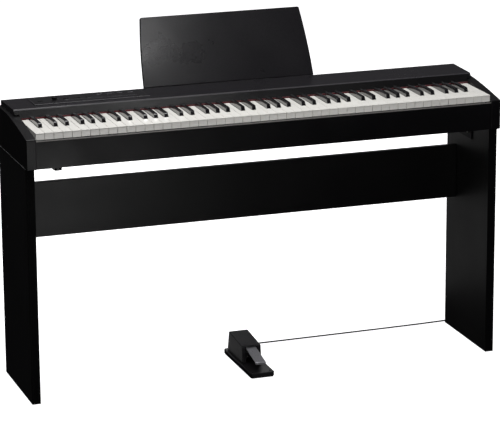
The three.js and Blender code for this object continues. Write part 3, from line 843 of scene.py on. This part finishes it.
def make_knob():
    """A knurled volume knob with a turned-in top and an indicator line."""
    low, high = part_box("volume_knob")
    centre = Vector(((low.x + high.x) / 2, (low.y + high.y) / 2, 0))
    strip_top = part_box("control_strip")[1].z
    radius = (high.x - low.x) / 2
    profile = [
        (3.0 * MM, low.z), (3.0 * MM, strip_top + 0.5 * MM), (radius - 0.3 * MM, strip_top + 0.5 * MM),
        (radius - 0.2 * MM, strip_top + 1.2 * MM), (radius - 0.2 * MM, high.z - 1.2 * MM),
        (radius - 0.6 * MM, high.z - 0.3 * MM), (radius - 1.3 * MM, high.z), (radius - 2.0 * MM, high.z),
        (radius - 2.4 * MM, high.z - 0.4 * MM),
    ]

    def knurl(angle, r):
        return 0.2 * MM * math.cos(28 * angle) if r > radius - 0.4 * MM else 0

    turned("volume_knob_cap", profile, centre, (0, 0, 1), "volume_knob", "control_black", ("volume_knob",),
           168, knurl)
    y = centre.y + radius * 0.5
    pad("volume_knob_line", centre.x - 0.35 * MM, centre.x + 0.35 * MM, y - 2.0 * MM, y + 1.2 * MM,
        high.z - 0.5 * MM, high.z - 0.15 * MM, 0.2 * MM, 0.1 * MM, "volume_knob", "panel_print")


def make_buttons():
    for node in ("power_button", "function_button_1", "function_button_2", "function_button_3"):
        low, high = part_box(node)
        pad(f"{node}_cap", low.x, high.x, low.y, high.y, low.z, high.z, 1.2 * MM, 0.5 * MM,
            node, "control_black", (node,), 0.25 * MM)


def mark(name, x, y, wide, deep, top):
    """A printed bar on the panel."""
    pad(name, x - wide / 2, x + wide / 2, y - deep / 2, y + deep / 2, top - 0.05 * MM, top + 0.08 * MM,
        min(wide, deep) * 0.4, 0.05 * MM, "root", "panel_print")


def lamp_lens(name, x, y, top):
    profile = [(1.1 * MM, -0.4 * MM), (1.1 * MM, 0.1 * MM), (0.8 * MM, 0.4 * MM), (0.35 * MM, 0.55 * MM)]
    turned(name, profile, (x, y, top), (0, 0, 1), "root", "lamp_lens", sides=20)


def make_panel():
    low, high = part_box("control_strip")
    strip = traced("control_strip", "control_panel", "root", "trim_black")

    def on_top_rim(p):
        sides = (p.x - low.x, p.x - high.x, p.y - low.y, p.y - high.y)
        return high.z - p.z < ON_PLANE and any(abs(gap) < ON_PLANE for gap in sides)

    weigh_edges(strip, on_top_rim)
    round_marked(strip, 2.1 * MM, 5)
    # Painted highlight on the rounded rim of the panel.
    paint_highlight_on_rounding(strip)
    top = high.z
    for node in ("function_button_1", "function_button_2", "function_button_3"):
        a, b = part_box(node)
        x = (a.x + b.x) / 2
        lamp_lens(f"{node}_lamp", x, b.y + 6 * MM, top)
        mark(f"{node}_mark", x, a.y - 5 * MM, 9 * MM, 1.1 * MM, top)
    a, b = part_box("power_button")
    mark("power_mark", (a.x + b.x) / 2, b.y + 5 * MM, 6 * MM, 1.1 * MM, top)
    a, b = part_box("volume_knob")
    centre, radius = (a + b) / 2, (b.x - a.x) / 2 + 4 * MM
    for k in range(11):
        angle = math.radians(240 - 30 * k)
        x, y = centre.x + radius * math.cos(angle), centre.y + radius * math.sin(angle)
        mark(f"volume_tick_{k}", x, y, 0.9 * MM, 0.9 * MM, top)
    x = high.x - 118 * MM
    for group in range(4):
        mark(f"list_mark_{group}", x, high.y - 14 * MM, 17 * MM, 1.1 * MM, top)
        mark(f"list_line_{group}", x - 2 * MM, high.y - 20 * MM, 13 * MM, 0.9 * MM, top)
        x += 28 * MM
    y = (low.y + high.y) / 2 - 14 * MM
    mark("panel_rule", (low.x + high.x) / 2 + 30 * MM, y, 190 * MM, 0.5 * MM, top)


make_knob()
make_buttons()
make_panel()


# ---- Music rest ----------------------------------------------------------------------------------------

def make_music_rest():
    rest = traced("music_rest", "music_rest_board", "root", "rest_black")
    soften(rest, 2.2 * MM, 5, 40)


def make_edge_bands():
    """A thin band on the front and rear edges of each side board."""
    for side in ("left", "right"):
        low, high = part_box(f"{side}_side_board")
        ends = (("front", low.y - 0.5 * MM, low.y + 0.3 * MM), ("rear", high.y - 0.3 * MM, high.y + 0.4 * MM))
        for end, y0, y1 in ends:
            profile = [(low.x, y1), (low.x, y0 + 0.4 * MM), (low.x + 0.4 * MM, y0), (high.x - 0.4 * MM, y0),
                       (high.x, y0 + 0.4 * MM), (high.x, y1)]
            if end == "rear":
                profile = [(low.x, y0), (high.x, y0), (high.x, y1 - 0.3 * MM), (high.x - 0.4 * MM, y1),
                           (low.x + 0.4 * MM, y1), (low.x, y1 - 0.3 * MM)]
            rings = [[(x, y, z) for x, y in profile] for z in (0.6 * MM, high.z - 0.4 * MM)]
            if end == "front":
                rings = [list(reversed(ring)) for ring in rings]
            verts, faces = stack(rings)
            band = piece(f"{side}_{end}_edge_band", verts, faces, "root", "edge_band")
            band.data.set_sharp_from_angle(angle=math.radians(30))


make_music_rest()
make_edge_bands()


# ---- Back of the case ------------------------------------------------------------------------------------

JACK_X = 600 * MM
INLET_X = 573 * MM
PLATE_X = -380 * MM


def make_rear():
    low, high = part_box("rear_panel")
    face = high.y
    count = 9
    for k in range(count):
        x = low.x + 30 * MM + (high.x - low.x - 60 * MM) * k / (count - 1)
        for row, z in (("low", low.z + 10 * MM), ("high", high.z - 9 * MM)):
            screw(f"rear_screw_{row}_{k}", (x, face - 0.2 * MM, z), (0, 1, 0), 3.4 * MM, 1.9 * MM,
                  "root", "pin_steel", 17 * k + (5 if row == "low" else 40))
    rings = []
    for y, inset in ((face - 0.1 * MM, 0), (face + 0.35 * MM, 0), (face + 0.5 * MM, 0.3 * MM)):
        outline = rounded_box_outline(PLATE_X - 45 * MM + inset, PLATE_X + 45 * MM - inset,
                                      650 * MM + inset, 690 * MM - inset, 3 * MM)
        rings.append([(x, y, z) for x, z in reversed(outline)])
    verts, faces = stack(rings)
    plate = piece("rating_plate_blank", verts, faces, "root", "trim_black")
    plate.data.set_sharp_from_angle(angle=math.radians(20))
    jack_low, jack_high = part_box("jack_plate")
    jack_face = jack_high.y
    centre_z = (jack_low.z + jack_high.z) / 2
    for name, x, hole in (("pedal_jack", JACK_X, 3.7 * MM), ("power_inlet", INLET_X, 4.5 * MM)):
        ring = [(hole, -1.5 * MM), (hole + 1.9 * MM, -1.5 * MM), (hole + 1.9 * MM, 0.15 * MM),
                (hole + 1.5 * MM, 0.25 * MM), (hole + 0.25 * MM, 0.25 * MM), (hole, 0.0)]
        ring_piece(f"{name}_bezel", ring, (x, jack_face, centre_z), (0, 1, 0), "pin_steel")
    pin = [(1.0 * MM, -4 * MM), (1.0 * MM, -0.6 * MM), (0.6 * MM, -0.1 * MM)]
    turned("power_inlet_pin", pin, (INLET_X, jack_face, centre_z), (0, 1, 0), "root", "pin_steel", sides=20)
    inset = 4 * MM
    corners = ((jack_low.x + inset, jack_low.z + inset), (jack_high.x - inset, jack_high.z - inset))
    for k, (x, z) in enumerate(corners):
        screw(f"jack_plate_screw_{k}", (x, jack_face - 0.1 * MM, z), (0, 1, 0), 2.2 * MM, 1.2 * MM,
              "root", "pin_steel", 30 + 40 * k)
    box_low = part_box("headphone_jack_box")[0]
    for k, x in enumerate((-561 * MM, -550.5 * MM)):
        ring = [(3.3 * MM, -1.0 * MM), (4.0 * MM, -1.0 * MM), (4.0 * MM, 0.3 * MM), (3.6 * MM, 0.5 * MM),
                (3.3 * MM, 0.4 * MM)]
        ring_piece(f"headphone_socket_ring_{k}", ring, (x, box_low.y, 613.4 * MM), (0, -1, 0), "pin_steel")


def ring_piece(name, section, centre, axis, slot):
    """A ring of a closed section: each point is (radius, height along the axis)."""
    turn = upright_to(axis)
    verts, faces = [], []
    count = len(section)
    sides = 32
    for k in range(sides):
        angle = 2 * math.pi * k / sides
        for r, h in section:
            verts.append(Vector(centre) + turn @ Vector((r * math.cos(angle), r * math.sin(angle), h)))
    for k in range(sides):
        a, b = k * count, ((k + 1) % sides) * count
        for i in range(count):
            j = (i + 1) % count
            faces.append((a + i, b + i, b + j, a + j))
    obj = piece(name, verts, faces, "root", slot)
    obj.data.set_sharp_from_angle(angle=math.radians(38))


def make_bracket_screws():
    for side, sign in (("left", -1), ("right", 1)):
        low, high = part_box(f"{side}_corner_bracket")
        inner = high.x if sign < 0 else low.x
        upright = low.x + 2.5 * MM if sign < 0 else high.x - 2.5 * MM
        for k, y in enumerate((low.y + 25 * MM, high.y - 25 * MM)):
            screw(f"{side}_bracket_side_screw_{k}", (upright, y, high.z - 38 * MM), (-sign, 0, 0),
                  4.5 * MM, 2.4 * MM, "root", "pin_steel", 25 * k)
            screw(f"{side}_bracket_top_screw_{k}", ((inner + upright) / 2, y, high.z - 2.5 * MM), (0, 0, -1),
                  4.5 * MM, 2.4 * MM, "root", "pin_steel", 55 * k)
        low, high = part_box(f"{side}_rest_bracket")
        for k, x in enumerate((low.x + 7 * MM, high.x - 7 * MM)):
            screw(f"{side}_rest_screw_{k}", (x, low.y + 2.9 * MM, low.z + 9 * MM), (0, 1, 0),
                  3.2 * MM, 1.8 * MM, "root", "pin_steel", 35 * k)


def make_painted_seam_highlights():
    """A thin pale strip in the joint between each side board and the case above it: a painted highlight where
    the edges of board and case catch light.
    """
    for side, sign in (("left", -1), ("right", 1)):
        low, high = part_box(f"{side}_side_board")
        face = (low.x if sign < 0 else high.x) + sign * 0.95 * MM
        back = face - sign * 1.8 * MM
        z = high.z - 0.5 * MM
        section = [(back, z - 0.7 * MM), (back, z + 0.7 * MM), (face - sign * 0.2 * MM, z + 0.7 * MM),
                   (face, z + 0.45 * MM), (face, z - 0.45 * MM), (face - sign * 0.2 * MM, z - 0.7 * MM)]
        if sign > 0:
            section.reverse()
        rings = [[(x, y, h) for x, h in section] for y in (low.y + 1 * MM, high.y - 1 * MM)]
        verts, faces = stack(rings)
        # The strip is a painted highlight along the seam.
        strip = piece(f"{side}_joint_strip", verts, faces, "root", "seam_painted_highlight")
        strip.data.set_sharp_from_angle(angle=math.radians(30))


def make_side_caps():
    """Flush caps over the bolts that hold the modesty panel between the side boards."""
    panel_low, panel_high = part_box("modesty_panel")
    y = (panel_low.y + panel_high.y) / 2
    for side, sign in (("left", -1), ("right", 1)):
        low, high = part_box(f"{side}_side_board")
        x = low.x if sign < 0 else high.x
        for k, z in enumerate((panel_low.z + 30 * MM, panel_high.z - 30 * MM)):
            cap = [(6.5 * MM, -0.5 * MM), (6.5 * MM, 0.25 * MM), (5.8 * MM, 0.55 * MM), (3.0 * MM, 0.6 * MM),
                   (2.6 * MM, 0.45 * MM)]
            turned(f"{side}_bolt_cap_{k}", cap, (x, y, z), (sign, 0, 0), "root", "trim_black")


make_rear()
make_bracket_screws()
make_side_caps()
make_painted_seam_highlights()


# ---- Pedal and cord ---------------------------------------------------------------------------------------

def make_pedal():
    paint_node("pedal_base", "pedal_black", 1.8 * MM, 4)
    paint_node("pedal_sole", "sole_rubber", 0.3 * MM, 2)
    paint_node("pedal_housing", "pedal_black", 2.4 * MM, 4)
    paint_node("pedal_pivot_pin", "pin_steel", 0.3 * MM, 2)


# Along the lever, in millimetres: depth, underside, top.
LEVER_STATIONS = [
    (28.0, 32.2, 36.6), (28.6, 31.2, 37.9), (30.0, 31.0, 38.55), (31.2, 31.4, 38.85), (32.0, 35.2, 39.0),
    (60.0, 41.3, 44.8), (90.0, 47.6, 51.0), (104.0, 50.7, 53.9), (108.0, 51.5, 54.5), (188.0, 51.5, 54.5),
]


def make_lever():
    """A pressed steel lever: a shallow crown across its top, rounded edges and a rolled front lip."""
    low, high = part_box("pedal_lever")
    centre = (low.x + high.x) / 2
    half = (high.x - low.x) / 2
    rings = []
    for y, z0, z1 in LEVER_STATIONS:
        z0, z1 = z0 * MM, z1 * MM
        y = y * MM + DEPTH_ZERO
        edge = min(1.4 * MM, (z1 - z0) * 0.45)
        right = [(half - edge * 0.3, z0), (half, z0 + edge * 0.3), (half, z1 - edge),
                 (half - edge * 0.3, z1 - edge * 0.35), (half - edge, z1 - edge * 0.08), (half * 0.5, z1)]
        left = [(-x, z) for x, z in reversed(right)]
        across = [left[-1], *right, (0, z1), *left[:-1]]
        rings.append([(centre + x, y, z) for x, z in reversed(across)])
    verts, faces = stack(rings)
    lever = piece("pedal_lever_plate", verts, faces, "pedal_lever", "lever_metal", ("pedal_lever",))
    lever.data.set_sharp_from_angle(angle=math.radians(55))


def make_spring():
    """The coil under the lever."""
    low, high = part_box("pedal_spring")
    wire, sides, turns, steps = 0.85 * MM, 8, 6, 20
    centre = (low + high) / 2
    coil = (high.x - low.x) / 2 - 0.95 * MM
    foot, top = low.z + wire + 0.1 * MM, high.z - wire - 0.1 * MM
    rings = []
    for k in range(turns * steps + 1):
        angle = 2 * math.pi * k / steps
        z = foot + (top - foot) * k / (turns * steps)
        out = Vector((math.cos(angle), math.sin(angle), 0))
        middle = Vector((centre.x, centre.y, z)) + out * coil
        rings.append([tuple(middle + out * wire * math.cos(a) + Vector((0, 0, wire * math.sin(a))))
                      for a in (2 * math.pi * i / sides for i in range(sides))])
    verts, faces = stack(rings)
    spring = piece("pedal_coil_spring", verts, faces, "root", "spring_steel", ("pedal_spring",))
    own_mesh(spring)


def make_relief():
    """The cord's strain relief: a collar, then a slotted sleeve that tapers to the cord."""
    low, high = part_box("pedal_strain_relief")
    start = Vector(((low.x + high.x) / 2, low.y, (low.z + high.z) / 2))
    profile = [(4.5 * MM, 0), (4.5 * MM, 2.6 * MM), (4.1 * MM, 3.0 * MM), (3.5 * MM, 3.2 * MM)]
    depth = 4.0
    while depth < 18.5:
        radius = 3.5 - 0.06 * (depth - 3)
        profile += [(radius * MM, depth * MM), (radius * MM, (depth + 1.4) * MM),
                    ((radius - 0.7) * MM, (depth + 1.5) * MM), ((radius - 0.7) * MM, (depth + 2.1) * MM)]
        depth += 2.2
    profile += [(2.6 * MM, 19.6 * MM), (2.45 * MM, 21.3 * MM)]
    return turned("pedal_cord_relief", profile, start, (0, 1, 0), "root", "plug_plastic",
                  ("pedal_strain_relief",), 28)


def make_plug():
    """A right-angled jack plug: steel tip and collar, moulded handle with grip ribs."""
    jack_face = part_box("jack_plate")[1].y
    x, y, z = JACK_X, 304 * MM + DEPTH_ZERO, 656 * MM
    tip = [(1.2 * MM, -18 * MM), (2.2 * MM, -17 * MM), (2.9 * MM, -15.4 * MM), (1.9 * MM, -13.6 * MM),
           (2.9 * MM, -12.6 * MM), (3.05 * MM, -12 * MM), (3.05 * MM, -7 * MM), (2.8 * MM, -6.8 * MM),
           (2.8 * MM, -6 * MM), (3.1 * MM, -5.8 * MM), (3.1 * MM, 0.6 * MM), (5.6 * MM, 0.6 * MM),
           (6.0 * MM, 1.0 * MM), (6.0 * MM, 3.0 * MM), (5.2 * MM, 3.4 * MM), (5.2 * MM, 8 * MM)]
    metal = turned("pedal_plug_tip", tip, (x, jack_face, z), (0, 1, 0), "root", "pin_steel", (), 28)
    body = [(3.6 * MM, -6 * MM), (4.9 * MM, -5.4 * MM), (5.5 * MM, -4.2 * MM), (5.5 * MM, 3 * MM)]
    for k in range(4):
        rib = (3.4 + 2.3 * k) * MM
        body += [(4.9 * MM, rib), (4.9 * MM, rib + 0.9 * MM),
                 (5.4 * MM, rib + 1.2 * MM), (5.4 * MM, rib + 2.0 * MM)]
    body += [(5.0 * MM, 13.6 * MM), (3.5 * MM, 15.0 * MM)]
    for k in range(3):
        notch = (15.6 + 2.1 * k) * MM
        body += [(3.4 * MM, notch), (3.4 * MM, notch + 1.1 * MM), (2.8 * MM, notch + 1.2 * MM),
                 (2.8 * MM, notch + 1.8 * MM)]
    body += [(3.0 * MM, 22.0 * MM), (2.5 * MM, 22.7 * MM)]
    handle = turned("pedal_plug_handle", body, (x, y, z), (1, 0, 0), "root", "plug_plastic",
                    ("pedal_plug",), 28)
    return [metal, handle]


def make_tie():
    """A strap round the coil, at the side away from the piano."""
    centre = in_frame((*COIL_CENTRE, 0))
    inner, outer = (COIL_RADIUS - 2.3) * MM, (COIL_RADIUS + 2.3) * MM
    height = 16.3 * MM
    wide, thick = 5.0 * MM, 0.5 * MM

    def loop(grow):
        return rounded_box_outline(inner - grow, outer + grow, 0.02 * MM, height + grow, 1.0 * MM + grow)

    rings = []
    outside, inside = loop(thick), loop(0)
    verts, faces = [], []
    angle = math.radians(60)
    out_dir = Vector((math.cos(angle), math.sin(angle), 0))
    side_dir = Vector((-math.sin(angle), math.cos(angle), 0))
    for ring in (outside, inside):
        for across in (-wide / 2, wide / 2):
            start = centre + side_dir * across
            rings.append([start + out_dir * r + Vector((0, 0, z)) for r, z in ring])
    count = len(outside)
    for ring in rings:
        verts += ring
    for a, b in ((0, 1), (1, 3), (3, 2), (2, 0)):
        for i in range(count):
            j = (i + 1) % count
            faces.append((a * count + i, a * count + j, b * count + j, b * count + i))
    tie = piece("pedal_cord_tie", verts, faces, "root", "plug_plastic")
    tie.data.set_sharp_from_angle(angle=math.radians(40))
    return tie


def make_pedal_screws():
    low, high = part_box("pedal_base")
    for k, x in enumerate((low.x + 9 * MM, high.x - 9 * MM)):
        screw(f"pedal_base_screw_{k}", (x, low.y + 12 * MM, high.z - 0.2 * MM), (0, 0, 1), 2.6 * MM, 1.1 * MM,
              "root", "pedal_black", 20 + 50 * k)


make_lever()
make_spring()
make_pedal_screws()
make_pedal()
make_cord()
